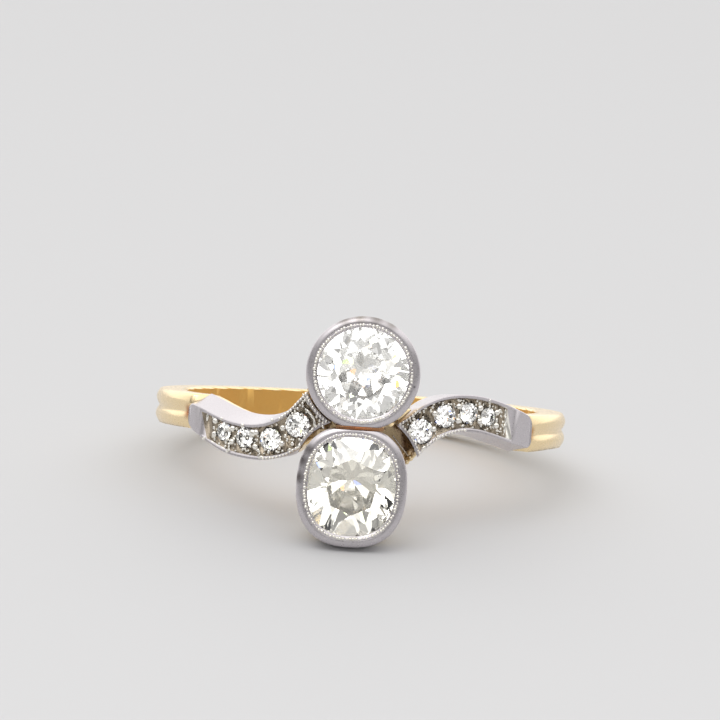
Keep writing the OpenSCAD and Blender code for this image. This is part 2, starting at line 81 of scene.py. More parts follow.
# The shoulders, from the front to their reach in degrees; the face sinks towards the tip, from a
# share of the reach on
ARM_REACH = 52.5
ARM_SWAY = 1.9
SINE_CAP = 0.99
FACE_FALL = 0.15
FACE_TIP_H = 1.68
FACE_HEAD_H = 2.4
FIELD_DEPTH = 0.14
BORDER_W = 0.17


class Side(Enum):
    """The shoulder's side, as seen from the front."""

    LEFT = "left"
    RIGHT = "right"

    @property
    def sign(self) -> int:
        """Gives -1 for the left side and 1 for the right one."""
        return -1 if self is Side.LEFT else 1


class Edge(Enum):
    """The two long edges of a shoulder's face, as columns of its table."""

    ROUND = 1
    HOLLOW = 2


@dataclass(frozen=True)
class Outline:
    """A main stone's outline at its girdle, as seen from the front, and its place on the ring."""

    x: float
    z: float
    half_w: float
    half_l: float
    power: float = 2.0

    def measure(self, x: float, z: float, off: float = 0.0) -> float:
        """Measures a point from the outline's middle: under 1 inside it, over 1 outside."""
        across, up = abs(x) / (self.half_w + off), abs(z) / (self.half_l + off)
        return across ** self.power + up ** self.power

    def rim(self, turn: float, off: float = 0.0) -> Vector:
        """Gives the outline's point at an angle in radians, from its own middle."""
        c, s = cos(turn), sin(turn)
        return Vector((c, s, 0)) / self.measure(c, s, off) ** (1 / self.power)


# The round stone and the cushion under it
UPPER = Outline(0.0, 2.525, 2.2, 2.2)
LOWER = Outline(-0.2, -2.695, 2.12, 2.37, 2.36)

# Share of the reach, and how far the round and the hollow edge lie on the round side of the
# band's middle, as shares of the sway
ARM_EDGES = {
    Side.LEFT: (
        (0, -0.4, -0.6), (0.15, 0.06, -0.92), (0.22, 0.35, -0.95), (0.28, 0.62, -0.65),
        (0.35, 0.84, -0.25), (0.42, 0.945, -0.02), (0.5, 0.99, 0.11), (0.6, 0.97, 0.14),
        (0.7, 0.9, 0.09), (0.8, 0.75, -0.02), (0.9, 0.57, -0.14), (1, 0.36, -0.24),
        (1.1, 0.12, -0.3),
    ),
    Side.RIGHT: (
        (0, -0.4, -0.6), (0.15, 0.04, -0.92), (0.22, 0.31, -0.97), (0.28, 0.575, -0.64),
        (0.35, 0.765, -0.29), (0.42, 0.875, -0.1), (0.5, 0.92, 0.01), (0.6, 0.9, 0),
        (0.7, 0.82, -0.09), (0.8, 0.7, -0.2), (0.9, 0.56, -0.3), (1, 0.4, -0.4),
        (1.1, 0.2, -0.5),
    ),
}

# Angle from the front, place on the round side of the band's middle, and radius of the small stones
SMALL_STONES = {
    Side.LEFT: ((15.6, 0.1, 0.58), (22.9, 0.89, 0.53), (30.8, 0.92, 0.48), (38.2, 0.74, 0.43)),
    Side.RIGHT: ((15.2, -0.04, 0.58), (21.6, 0.71, 0.53), (28.7, 0.89, 0.48), (35.3, 0.75, 0.43)),
}


def linear(colour: str) -> tuple[float, float, float, float]:
    """Turns an sRGB hex colour into linear RGBA.

    Args:
        colour: the colour as "#RRGGBB".

    Returns:
        Red, green, blue and an alpha of 1.
    """
    parts = [int(colour[i:i + 2], 16) / 255 for i in (1, 3, 5)]
    red, green, blue = (c / 12.92 if c <= 0.04045 else ((c + 0.055) / 1.055) ** 2.4 for c in parts)
    return red, green, blue, 1.0


def slope(rows: tuple[Spot, ...], column: int, k: int) -> float:
    """Tells how steeply a column of a table climbs at row k, by the rows on both sides of it."""
    before, after = rows[max(0, k - 1)], rows[min(len(rows) - 1, k + 1)]
    return (after[column] - before[column]) / (after[0] - before[0])


def rise(low: float, high: float, value: float) -> float:
    """Rises smoothly from 0 at low to 1 at high."""
    t = min(1.0, max(0.0, (value - low) / (high - low)))
    return t * t * (3 - 2 * t)


def on_ring(degrees: float, radius: float, along: float) -> Vector:
    """Gives the point at an angle from the front, a radius and a place along the finger."""
    turn = radians(degrees)
    return Vector((radius * sin(turn), -radius * cos(turn), along))


def face_r(degrees: float) -> float:
    """Gives the radius of a shoulder's face at an angle from the front."""
    low = rise(FACE_FALL, 1, abs(degrees) / ARM_REACH)
    return FINGER_R + FACE_HEAD_H + (FACE_TIP_H - FACE_HEAD_H) * low


def add_node(
    tree: Tree,
    kind: str,
    values: dict[str | int, object] | None = None,
    links: dict[str | int, Socket] | None = None,
    **settings: object,
) -> Node:
    """Adds a node with its settings, input values and links.

    Args:
        tree: the node tree that gets the node.
        kind: Blender's name of the node's class, without ShaderNode.
        values: input name or number to value.
        links: input name or number to the output that feeds it.
        settings: the node's own properties.

    Returns:
        The new node.
    """
    node = tree.nodes.new(f"ShaderNode{kind}")
    for name, value in settings.items():
        setattr(node, name, value)
    for name, value in (values or {}).items():
        node.inputs[name].default_value = value
    for name, socket in (links or {}).items():
        tree.links.new(socket, node.inputs[name])
    return node


def ramp(
    tree: Tree, value: Socket, span: Span, result: Span, easing: str = "SMOOTHSTEP"
) -> Socket:
    """Adds a node that maps a value's span to another one.

    Args:
        tree: the node tree that gets the node.
        value: the output with the value.
        span: the value's two ends.
        result: what they become.
        easing: Blender's name of the way from one to the other.

    Returns:
        The node's output.
    """
    ends = dict(zip(("From Min", "From Max", "To Min", "To Max"), (*span, *result)))
    made = add_node(tree, "MapRange", ends, {"Value": value}, interpolation_type=easing)
    return made.outputs["Result"]


@dataclass(frozen=True)
class ColourMark:
    """A small soft spot where a metal's colour is mixed towards another: mostly painted shade or a
    painted reflection.
    """

    at: Spot | Vector
    size_mm: float
    colour: str


@dataclass(frozen=True)
class Finish:
    """What a piece is made of, and how its surface was made."""

    name: str

    def shader(self, tree: Tree) -> Node:
        """Adds the finish's own nodes and returns the last of them."""
        raise NotImplementedError

    def material(self) -> bpy.types.Material:
        """Builds the material, once.

        Returns:
            The material, also where it was built before.
        """
        made = bpy.data.materials.get(self.name)
        if not made:
            made = bpy.data.materials.new(self.name)
            made.use_nodes = True
            tree = made.node_tree
            tree.nodes.clear()
            surface = self.shader(tree).outputs["BSDF"]
            add_node(tree, "OutputMaterial", links={"Surface": surface})
        return made


@dataclass(frozen=True)
class Metal(Finish):
    """A polished precious metal with the fine wear of handling, and soft colour marks that are
    mostly painted shade or painted reflections.
    """

    colour: str
    roughness: float
    wear_mm: float
    wear_depth_mm: float
    haze: float
    marks: tuple[ColourMark, ...] = ()
    wear_detail: float = 4.0
    wear_strength: float = 0.6
    haze_span: Span = (0.35, 0.7)

    def shader(self, tree: Tree) -> Node:
        """Adds the metal with its wear: hairlines in the surface, and a haze where they are dense.

        Args:
            tree: the material's node tree.

        Returns:
            The metal's shader.
        """
        place = add_node(tree, "TexCoord").outputs["Object"]
        wear = add_node(
            tree, "TexNoise", {"Scale": 1 / (self.wear_mm * MM), "Detail": self.wear_detail},
            {"Vector": place},
        )
        rough = self.roughness, self.roughness + self.haze
        haze = ramp(tree, wear.outputs["Fac"], self.haze_span, rough, "LINEAR")
        bump = add_node(
            tree, "Bump", {"Strength": self.wear_strength, "Distance": self.wear_depth_mm * MM},
            {"Height": wear.outputs["Fac"]},
        )
        shader = add_node(
            tree, "BsdfPrincipled", {"Base Color": linear(self.colour), "Metallic": 1.0},
            {"Roughness": haze, "Normal": bump.outputs["Normal"]},
        )
        self.stain(tree, place, shader)
        return shader

    def stain(self, tree: Tree, place: Socket, shader: Node) -> None:
        """Darkens the metal round each mark: mostly painted shade or a painted reflection,
        elsewhere a plain colour mark.

        Args:
            tree: the material's node tree.
            place: the output with the place on the object.
            shader: the metal's shader.
        """
        colour = None
        for stain in self.marks:
            away = add_node(
                tree, "VectorMath", {1: TO_ROW @ Vector(stain.at)}, {0: place},
                operation="DISTANCE",
            )
            near = ramp(tree, away.outputs["Value"], (0.0, stain.size_mm * MM), (1.0, 0.0))
            mixed = add_node(
                tree, "MixRGB", {"Color1": linear(self.colour), "Color2": linear(stain.colour)},
                {"Fac": near},
            )
            if colour:
                tree.links.new(colour, mixed.inputs["Color1"])
            colour = mixed.outputs["Color"]
        if colour:
            tree.links.new(colour, shader.inputs["Base Color"])


@dataclass(frozen=True)
class CutStone(Finish):
    """A cut and polished diamond."""

    tint: str
    ior: float = 2.42

    def shader(self, tree: Tree) -> Node:
        """Adds the clear stone."""
        look = {"Base Color": linear(self.tint), "Roughness": 0.0, "IOR": self.ior}
        return add_node(tree, "BsdfPrincipled", {**look, "Transmission Weight": 1.0})


# Colour marks on the gold: darker reddish-brown spots at the two ends of the groove between the
# reeds, a coppery tone on the plate between the heads, and painted shade in the two gaps between
# the heads
GOLD_MARKS_AND_PAINTED_SHADE = (
    ColourMark(on_ring(-54.9, 10.0, -0.02), 0.5, "#A85A1E"),
    ColourMark(on_ring(54.2, 10.0, 0.0), 0.5, "#B97A34"),
    ColourMark((0, -12.0, 0), 2.6, "#DE9464"),
    # Painted shade: dark brown in the right gap and in the left gap between the heads
    ColourMark((2.0, -10.9, -1.2), 2.7, "#7E5C44"),
    ColourMark((-1.8, -11.0, -0.3), 1.8, "#94704F"),
)
# A tiny very dark spot on the upper bezel's lower right, then painted darker reflections on both
# bezels
BEZEL_MARK_AND_PAINTED_REFLECTIONS = (
    ColourMark((2.36, -12.2, 2.06), 0.1, "#2A2422"),
    # Painted reflection: grey-brown over the top of the upper bezel
    ColourMark((-1.0, -12.0, 4.86), 0.6, "#86807C"),
    ColourMark((-0.3, -12.0, 5.05), 0.55, "#8C847C"),
    ColourMark((0.45, -12.0, 5.03), 0.6, "#807A75"),
    ColourMark((1.15, -12.0, 4.8), 0.5, "#8A8580"),
    # Painted reflection of shade: dark grey patches on the lower bezel's left
    ColourMark((-2.25, -12.1, -1.1), 0.42, "#6B6464"),
    ColourMark((-2.5, -12.1, -1.62), 0.4, "#756E6E"),
    ColourMark((-2.66, -12.1, -2.4), 0.45, "#726B6A"),
)

# 18 carat yellow gold, hand polished long ago: a soft shine with hairline wear, painted shade in
# the gaps between the heads, a coppery plate and darker spots at the two ends of its groove
YELLOW_GOLD = Metal("yellow_gold_hand_polished_painted_shade", "#F7E0B4", 0.2, 0.11, 0.0008, 0.1, GOLD_MARKS_AND_PAINTED_SHADE)
# The same gold inside the ring, rubbed satin by the finger, painted a deeper orange as a painted
# reflection of the gold in itself
INSIDE_GOLD_PAINTED_REFLECTION = Metal("yellow_gold_worn_inside_painted_reflection", "#EBBD6E", 0.46, 0.2, 0.001, 0.12)
# Pale gold solder run together into drops, painted a cream colour as a painted highlight with a
# warm edge
GOLD_SOLDER_PAINTED_HIGHLIGHT = Metal("gold_solder_painted_highlight", "#FFEBC2", 0.34, 0.1, 0.001, 0.08)
# Platinum with the grey satin that it takes in wear, and painted darker reflections on the bezels
PLATINUM = Metal("platinum_worn_satin_painted_reflections", "#CFCACD", 0.26, 0.08, 0.0008, 0.12, BEZEL_MARK_AND_PAINTED_REFLECTIONS)
# Platinum where a tool has burnished it, on the milgrain, the grains and the solder thread: painted
# nearly white as a painted highlight
PLATINUM_PAINTED_HIGHLIGHT = Metal("platinum_burnished_painted_highlight", "#FBF8F0", 0.14, 0.1, 0.001, 0.08)
# Platinum cut with a graver between the small stones, broken by the cuts and painted a darker brown
# as painted shade in the sunk field and its walls
CUT_PLATINUM_PAINTED_SHADE = Metal("platinum_graver_cut_painted_shade", "#A89C8B", 0.2, 0.12, 0.03, 0.15)
# Diamond, cut and polished by hand: the round one nearly colourless, the cushion a warm white
WHITE_DIAMOND = CutStone("diamond_old_cut_white", "#FFFEFA")
WARM_DIAMOND = CutStone("diamond_old_cut_warm", "#FDFAEF")


def deselect_all() -> None:
    """Leaves edit mode and deselects every object."""
    if bpy.context.object and bpy.context.object.mode != "OBJECT":
        bpy.ops.object.mode_set(mode="OBJECT")
    bpy.ops.object.select_all(action="DESELECT")


def make_active(piece: Piece) -> None:
    """Selects one object alone and makes it active.

    Args:
        piece: the object.
    """
    deselect_all()
    piece.select_set(True)
    bpy.context.view_layer.objects.active = piece


def linked(name: str, data: bpy.types.ID) -> Piece:
    """Adds an object to the scene.

    Args:
        name: the object's name.
        data: its mesh, lamp or camera.

    Returns:
        The object.
    """
    made = bpy.data.objects.new(name, data)
    bpy.context.scene.collection.objects.link(made)
    return made


def edit_all() -> None:
    """Opens the active object in edit mode, with all of its mesh selected."""
    bpy.ops.object.mode_set(mode="EDIT")
    bpy.ops.mesh.select_all(action="SELECT")


def settle(piece: Piece, place: Matrix) -> None:
    """Puts a piece's place into its mesh, so that its object sits unturned at the origin.

    Args:
        piece: the piece.
        place: where it goes, in the row's frame.
    """
    make_active(piece)
    piece.matrix_world = place @ piece.matrix_world
    bpy.ops.object.transform_apply()


def dress(piece: Piece, finish: Finish, slot: str, *nodes: str) -> None:
    """Gives a piece its finish and its body.

    Args:
        piece: the piece.
        finish: what it is made of.
        slot: its material slot in the record; not used.
        nodes: the CAD nodes that it stands for.
    """
    piece.data.materials.clear()
    piece.data.materials.append(finish.material())
    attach(piece, "root")
    if nodes:
        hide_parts(*nodes)
    LOG.info("%s: %d faces", piece.name, len(piece.data.polygons))


def merged_copy(node: str, name: str) -> Piece:
    """Copies a CAD node's mesh and merges its loose triangles.

    Args:
        node: the CAD node's name.
        name: the new piece's name.

    Returns:
        The new object, linked and alone selected.
    """
    piece = linked(name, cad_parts[node].data.copy())
    make_active(piece)
    edit_all()
    bpy.ops.mesh.remove_doubles(threshold=MERGE_MM * MM)
    bpy.ops.object.mode_set(mode="OBJECT")
    return piece


def smooth_by_angle(piece: Piece, degrees: float) -> None:
    """Shades a piece smooth, with creases sharper than an angle kept."""
    make_active(piece)
    bpy.ops.object.shade_smooth_by_angle(angle=radians(degrees))


def join_all(pieces: list[Piece], name: str) -> Piece:
    """Joins pieces into the first one and renames it.

    Args:
        pieces: the objects to join.
        name: the joined piece's name.

    Returns:
        The joined object.
    """
    deselect_all()
    for piece in pieces:
        piece.select_set(True)
    bpy.context.view_layer.objects.active = pieces[0]
    bpy.ops.object.join()
    pieces[0].name = name
    return pieces[0]


@dataclass(frozen=True)
class Milgrain:
    """A row of tiny beads, rolled or punched along an edge."""

    bead_r: float = 0.07
    pitch: float = 0.15
    uneven: float = 0.08
    seed: int = 11
    segments: int = 10
    rings: int = 6

    def spaced(self, path: list[Vector]) -> list[Vector]:
        """Spaces points evenly along a path.

        Args:
            path: closely set points of an open or closed path.

        Returns:
            Points one pitch apart.
        """
        lengths = [0.0]
        for a, b in zip(path, path[1:]):
            lengths.append(lengths[-1] + (b - a).length)
        count = max(1, round(lengths[-1] / self.pitch))
        points, at = [], 0
        for k in range(count + 1):
            wanted = lengths[-1] * k / count
            while at < len(path) - 2 and lengths[at + 1] < wanted:
                at += 1
            part = (wanted - lengths[at]) / max(NO_LENGTH, lengths[at + 1] - lengths[at])
            points.append(path[at].lerp(path[at + 1], part))
        return points

    def beads(self, places: Iterable[Vector], name: str) -> Piece:
        """Models one bead and copies it to each place, a little uneven as handwork is.

        Args:
            places: the beads' centres.
            name: the joined piece's name.

        Returns:
            The joined beads, at the places' own scale.
        """
        draw = random.Random(self.seed)
        deselect_all()
        bpy.ops.mesh.primitive_uv_sphere_add(
            segments=self.segments, ring_count=self.rings, radius=self.bead_r
        )
        first = bpy.context.object
        bpy.ops.object.shade_smooth()
        made = []
        for place in places:
            bead = linked(name, first.data.copy())
            shake = Vector(draw.uniform(-1, 1) for _ in range(3)) * self.bead_r * self.uneven
            size = 1 + draw.uniform(-1, 1) * self.uneven
            bead.matrix_world = Matrix.Translation(place + shake) @ Matrix.Scale(size, 4)
            made.append(bead)
        bpy.data.objects.remove(first)
        joined = join_all(made, name)
        bpy.ops.object.transform_apply()
        return joined


@dataclass
class Bezel:
    """A platinum bezel: a tapered wall whose lip turns over the stone to a milgrained ridge."""

    node: str
    shape: Outline
    lip_h: float = 0.28
    lip_turn_deg: float = 80.0
    lip_steps: int = 9
    lip_over: float = 0.1
    lip_foot: float = 0.12
    ridge_offset: float = 0.03
    ridge_r: float = 0.045
    ridge_step_deg: int = 45
    ridge_sink: float = 1.6
    ridge_foot: float = 2.4
    girdle_drop: float = 0.272
    girdle_play: float = 0.02
    girdle_under: float = 0.07
    seat_w: float = 0.302
    seat_drop: float = 0.37
    foot_offset: float = 0.336
    foot_edge: float = 0.03
    look_rad: float = 0.01
    steps: int = 120
    path_steps: int = 360
    crease_deg: float = 32.0
    milgrain: Milgrain = Milgrain(bead_r=0.078, uneven=0.25)

    @property
    def place(self) -> Matrix:
        """Gives the head's place in the row's frame."""
        centre = (self.shape.x, -BEZEL_BASE_R, self.shape.z)
        return TO_ROW @ Matrix.Translation(centre) @ FACE_OUT

    def outline(self, turn: float, offset: float) -> Vector:
        """Gives the point at an angle in radians, set off square to the stone's girdle."""
        along = self.shape.rim(turn + self.look_rad) - self.shape.rim(turn - self.look_rad)
        return self.shape.rim(turn) + Vector((along.y, -along.x, 0)).normalized() * offset

    def profile(self) -> list[Span]:
        """Draws the wall's section, from the seat's foot round the outside and back.

        Returns:
            Offsets from the girdle and heights above the base.
        """
        run = BEZEL_WALL - self.ridge_offset - self.ridge_r
        lip = []
        for k in range(self.lip_steps + 1):
            turn = radians(self.lip_turn_deg) * k / self.lip_steps
            lip.append((
                BEZEL_WALL - run * (1 - cos(turn)),
                BEZEL_H - self.lip_h + (self.lip_h - self.ridge_r) * sin(turn),
            ))
        ridge = [
            (
                self.ridge_offset + self.ridge_r * cos(turn),
                BEZEL_H - self.ridge_r * (self.ridge_sink - sin(turn)),
            )
            for turn in map(radians, range(0, 181, self.ridge_step_deg))
        ]
        girdle = BEZEL_H - self.girdle_drop
        return [
            (-self.seat_w, 0.0), (self.foot_offset - self.foot_edge, 0.0),
            (self.foot_offset, self.foot_edge),
            *lip, *ridge,
            (-self.lip_over, BEZEL_H - self.ridge_foot * self.ridge_r),
            (-self.lip_over, girdle + self.lip_foot),
            (self.girdle_play, girdle + self.girdle_play),
            (self.girdle_play, girdle - self.girdle_under),
            (-self.seat_w, girdle - self.seat_drop),
        ]

    def wall(self) -> Piece:
        """Extrudes a ring along the section, closes it and files the meeting flat.

        Returns:
            The bezel, modelled flat round its own middle.
        """
        profile = self.profile()
        deselect_all()
        bpy.ops.mesh.primitive_circle_add(vertices=self.steps, radius=1, fill_type="NOTHING")
        piece = bpy.context.object
        offset, height = profile[0]
        for vertex in piece.data.vertices:
            spot = self.outline(2 * pi * vertex.index / self.steps, offset)
            vertex.co = spot + Vector((0, 0, height))
        edit_all()
        for next_offset, next_height in profile[1:]:
            grow = (
                (self.shape.half_w + next_offset) / (self.shape.half_w + offset),
                (self.shape.half_l + next_offset) / (self.shape.half_l + offset),
                1,
            )
            step = {"value": (0, 0, next_height - height)}
            bpy.ops.mesh.extrude_region_move(TRANSFORM_OT_translate=step)
            bpy.ops.transform.resize(value=grow, center_override=(0, 0, next_height))
            offset, height = next_offset, next_height
        bpy.ops.mesh.select_all(action="DESELECT")
        bpy.ops.mesh.select_mode(type="EDGE")
        bpy.ops.mesh.select_non_manifold(use_wire=False, use_multi_face=False, use_verts=False)
        bpy.ops.mesh.bridge_edge_loops()
        bpy.ops.mesh.select_all(action="SELECT")
        bpy.ops.mesh.normals_make_consistent()
        keep = 1 if self.shape.z > 0 else -1
        bpy.ops.mesh.bisect(
            plane_co=(0, keep * HEAD_FLAT - self.shape.z, 0), plane_no=(0, keep, 0),
            clear_inner=True, use_fill=True,
        )
        bpy.ops.object.mode_set(mode="OBJECT")
        smooth_by_angle(piece, self.crease_deg)
        return piece

    def grains(self) -> Piece:
        """Sets the milgrain on the ridge.

        Returns:
            The beads, modelled flat as the wall is.
        """
        lift = Vector((0, 0, BEZEL_H - self.milgrain.bead_r))
        path = [
            self.outline(2 * pi * k / self.path_steps, self.ridge_offset) + lift
            for k in range(self.path_steps + 1)
        ]
        return self.milgrain.beads(self.milgrain.spaced(path)[:-1], f"{self.node}_milgrain")

    def build(self) -> None:
        """Builds the bezel and its milgrain."""
        piece, grain = self.wall(), self.grains()
        piece.name = f"{self.node}_setting"
        for part in (piece, grain):
            settle(part, self.place)
        dress(piece, PLATINUM, "platinum", self.node)
        # The milgrain is dressed nearly white, a painted highlight
        dress(grain, PLATINUM_PAINTED_HIGHLIGHT, "platinum")


@dataclass
class Band:
    """The gold band with its reeds, collets and the plate between the heads."""

    crease_deg: float = 28.0
    bore_margin: float = 0.03

    def build(self) -> None:
        """Builds the gold piece, with the finger's wear inside it and a painted reflection there.
        """
        piece = merged_copy("gold_mount", "band_and_collets")
        smooth_by_angle(piece, self.crease_deg)
        dress(piece, YELLOW_GOLD, "gold", "gold_mount")
        # The bore's faces take the deeper orange gold, a painted reflection of the gold in itself
        piece.data.materials.append(INSIDE_GOLD_PAINTED_REFLECTION.material())
        for face in piece.data.polygons:
            if (TO_RING @ face.center).xy.length < FINGER_R + self.bore_margin:
                face.material_index = 1


@dataclass
class SolderSeam:
    """The solder in the right gap between the heads: a pale thread, and drops at its corner, both
    painted pale as a painted highlight.
    """

    thread: Milgrain = Milgrain(bead_r=0.035, pitch=0.03, uneven=0.15, segments=8, rings=5)
    thread_path: tuple[Spot, ...] = (
        (1.56, -9.95, -0.35), (1.76, -9.92, -0.59), (1.96, -9.88, -0.82), (2.16, -9.8, -1.05),
        (2.36, -9.68, -1.29),
    )
    drops: Milgrain = Milgrain(bead_r=0.125, pitch=0.17, uneven=0.2, seed=4)
    drops_path: tuple[Spot, ...] = ((2.64, -10.3, -1.07), (2.5, -10.0, -1.23), (2.27, -9.8, -1.5))

    def laid(self, row: Milgrain, path: tuple[Spot, ...], name: str) -> Piece:
        """Lays a row of beads along a path and brings it into the row's frame.

        Args:
            row: the beads.
            path: points on the gold, in the ring's own frame.
            name: the piece's name.

        Returns:
            The piece, still without a finish.
        """
        piece = row.beads(row.spaced([Vector(spot) for spot in path]), name)
        settle(piece, TO_ROW)
        return piece

    def build(self) -> None:
        """Lays the thread and the drops."""
        thread = self.laid(self.thread, self.thread_path, "solder_seam")
        # The thread is dressed nearly white, a painted highlight
        dress(thread, PLATINUM_PAINTED_HIGHLIGHT, "platinum")
        drops = self.laid(self.drops, self.drops_path, "solder_drops")
        # The drops are painted cream, a painted highlight
        dress(drops, GOLD_SOLDER_PAINTED_HIGHLIGHT, "gold")


@dataclass
class MilgrainRow:
    """A stretch of milgrain along one edge of a shoulder's face, by shares of the reach."""

    edge: Edge
    start: float
    stop: float
    inset: float = 0.07


@dataclass
class Grain:
    """A bead or a burnished streak on a shoulder's face, at an angle from the front, dressed nearly
    white as a painted highlight.
    """

    degrees: float
    along: float
    half_w: float
    half_l: float
    turned_deg: float = 0.0


@dataclass
class Shoulder:
    """An S-shaped platinum shoulder, milgrained by the heads and beaded between its stones."""

    side: Side
    rows: tuple[MilgrainRow, ...]
    loose: tuple[Grain, ...]
    lower_clear: float
    upper_clear: float = 0.13
    head_inset: float = 0.08
    crease_deg: float = 25.0
    milgrain: Milgrain = Milgrain(bead_r=0.068, pitch=0.18, uneven=0.15, seed=5)
    angle_rounds: int = 8
    row_steps: int = 60
    row_look: float = 0.01
    row_keep: float = 0.6
    end_steps: int = 720
    end_keep: float = 0.7
    end_from: float = 0.5
    scattered: int = 420
    scatter_deg: Span = (9, 42)
    scatter_z: Span = (-1.6, 1.7)
    scatter_r: Span = (0.035, 0.07)
    scatter_long: Span = (1, 1.7)
    scatter_room: float = 0.8
    scatter_margin: float = 0.02
    grain_up: float = 0.25
    grain_flat: float = 0.8
    grain_segments: int = 12
    grain_rings: int = 8
    bright_to_deg: float = 43.0
    bright_over: float = 0.015
    field_margin: float = 1.1
    floor_play: float = 0.02
    cut_depth: Span = (0.5, 2.4)
    cut_facing: float = 0.3

    @property
    def heads(self) -> tuple[tuple[Outline, float], ...]:
        """Gives both heads, each with how far the shoulder keeps clear of it."""
        return (UPPER, self.upper_clear), (LOWER, self.lower_clear)

    def edge_z(self, edge: Edge, share: float) -> float:
        """Reads an edge of the table as a smooth curve.

        Args:
            edge: the column.
            share: share of the shoulder's reach.

        Returns:
            How far the edge lies on the round side of the band's middle.
        """
        rows, column = ARM_EDGES[self.side], edge.value
        at = 0
        while at < len(rows) - 2 and share >= rows[at + 1][0]:
            at += 1
        low, high = rows[at], rows[at + 1]
        width = high[0] - low[0]
        u = (share - low[0]) / width
        return ARM_SWAY * (
            (2 * u ** 3 - 3 * u ** 2 + 1) * low[column]
            + (u ** 3 - 2 * u ** 2 + u) * slope(rows, column, at) * width
            + (3 * u ** 2 - 2 * u ** 3) * high[column]
            + (u ** 3 - u ** 2) * slope(rows, column, at + 1) * width
        )

    def placed(self, degrees: float, radius: float, own_z: float) -> Vector:
        """Turns a place on the shoulder's own side into one on the ring."""
        return on_ring(self.side.sign * degrees, radius, self.side.sign * own_z)

    def angle_at(self, across: float) -> float:
        """Finds the angle from the front at which the face lies a distance to the side.

        Args:
            across: the distance.

        Returns:
            The angle in degrees.
        """
        degrees = 0.0
        for _ in range(self.angle_rounds):
            degrees = math.degrees(asin(min(SINE_CAP, across / face_r(degrees))))
        return degrees

    def is_inside(self, across: float, own_z: float, margin: float) -> bool:
        """Tells whether a point of the face keeps a margin from its edges and from the heads.

        Args:
            across: distance to the side.
            own_z: place on the round side of the band's middle.
            margin: the margin.

        Returns:
            True if it does.
        """
        share = self.angle_at(across) / ARM_REACH
        low, high = self.edge_z(Edge.HOLLOW, share), self.edge_z(Edge.ROUND, share)
        x, z = self.side.sign * across, self.side.sign * own_z
        return low + margin < own_z < high - margin and all(
            head.measure(x - head.x, z - head.z, BEZEL_WALL + clear + margin) > 1
            for head, clear in self.heads
        )

    def edge_row(self, row: MilgrainRow) -> list[Vector]:
        """Places the beads of one row along an edge.

        Args:
            row: the row.

        Returns:
            The beads' centres, or none where the heads leave no room.
        """
        inset = row.inset if row.edge is Edge.HOLLOW else -row.inset
        look = self.row_look
        path = []
        for k in range(self.row_steps + 1):
            share = row.start + (row.stop - row.start) * k / self.row_steps
            degrees = share * ARM_REACH
            radius = face_r(degrees)
            here, there = (self.edge_z(row.edge, share + d) for d in (-look, look))
            lean = atan2(there - here, radians(2 * look * ARM_REACH) * radius)
            shifted = degrees + math.degrees(-inset * sin(lean) / radius)
            own_z = self.edge_z(row.edge, share) + inset * cos(lean)
            across = radius * sin(radians(shifted))
            if self.is_inside(across, own_z, self.head_inset * self.row_keep):
                path.append(self.placed(shifted, radius, own_z))
        return self.milgrain.spaced(path) if len(path) > 1 else []

    def head_rows(self) -> list[Vector]:
        """Places beads along the shoulder's inner end, beside the two heads.

        Returns:
            The beads' centres.
        """
        places = []
        for head, clear in self.heads:
            off = BEZEL_WALL + clear + self.head_inset
            path = []
            for k in range(self.end_steps):
                spot = head.rim(radians(360 * k / self.end_steps), off)
                across = self.side.sign * (head.x + spot.x)
                own_z = self.side.sign * (head.z + spot.y)
                margin = self.head_inset * self.end_keep
                if across > self.end_from and self.is_inside(across, own_z, margin):
                    degrees = self.angle_at(across)
                    path.append(self.placed(degrees, face_r(degrees), own_z))
            if len(path) > 2:
                places += self.milgrain.spaced(path)
        return places

    def scattered_grains(self) -> list[Grain]:
        """Finds room for the tiny beads that the graver has left between the stones.

        Returns:
            The beads, clear of each other, of the stones and of the border.
        """
        draw = random.Random(self.milgrain.seed + len(self.loose))
        sign = self.side.sign
        found: list[Grain] = []
        for _ in range(self.scattered):
            degrees, own_z = draw.uniform(*self.scatter_deg), draw.uniform(*self.scatter_z)
            size = draw.uniform(*self.scatter_r)
            radius = face_r(degrees)
            spot = on_ring(degrees, radius, own_z)
            others = [*SMALL_STONES[self.side]]
            others += [(abs(g.degrees), sign * g.along, g.half_w) for g in (*self.loose, *found)]
            free = all(
                (on_ring(turn, face_r(turn), z) - spot).length > half + self.scatter_room * size
                for turn, z, half in others
            )
            across = radius * sin(radians(degrees))
            if free and self.is_inside(across, own_z, BORDER_W + self.scatter_margin):
                long = size * draw.uniform(*self.scatter_long)
                turned = draw.uniform(0, 180)
                found.append(Grain(sign * degrees, sign * own_z, size, long, turned))
        return found

    def loose_grains(self) -> list[Piece]:
        """Raises the beads and streaks that stand between and beside the stones.

        Returns:
            The grains, in the ring's own frame.
        """
        made = []
        deselect_all()
        bpy.ops.mesh.primitive_uv_sphere_add(
            segments=self.grain_segments, ring_count=self.grain_rings, radius=1
        )
        first = bpy.context.object
        bpy.ops.object.shade_smooth()
        for k, grain in enumerate((*self.loose, *self.scattered_grains())):
            radius = face_r(grain.degrees)
            across = radius * sin(radians(abs(grain.degrees)))
            in_field = self.is_inside(across, self.side.sign * grain.along, BORDER_W)
            level = radius - (FIELD_DEPTH if in_field else 0.0) + self.grain_up * grain.half_w
            bead = linked(f"grain_{k}", first.data.copy())
            bead.matrix_world = (
                Matrix.Translation(on_ring(grain.degrees, level, grain.along))
                @ Matrix.Rotation(radians(grain.degrees), 4, "Z")
                @ Matrix.Rotation(radians(grain.turned_deg), 4, "Y")
                @ Matrix.Diagonal((grain.half_w, self.grain_flat * grain.half_w, grain.half_l, 1))
            )
            made.append(bead)
        bpy.data.objects.remove(first)
        return made

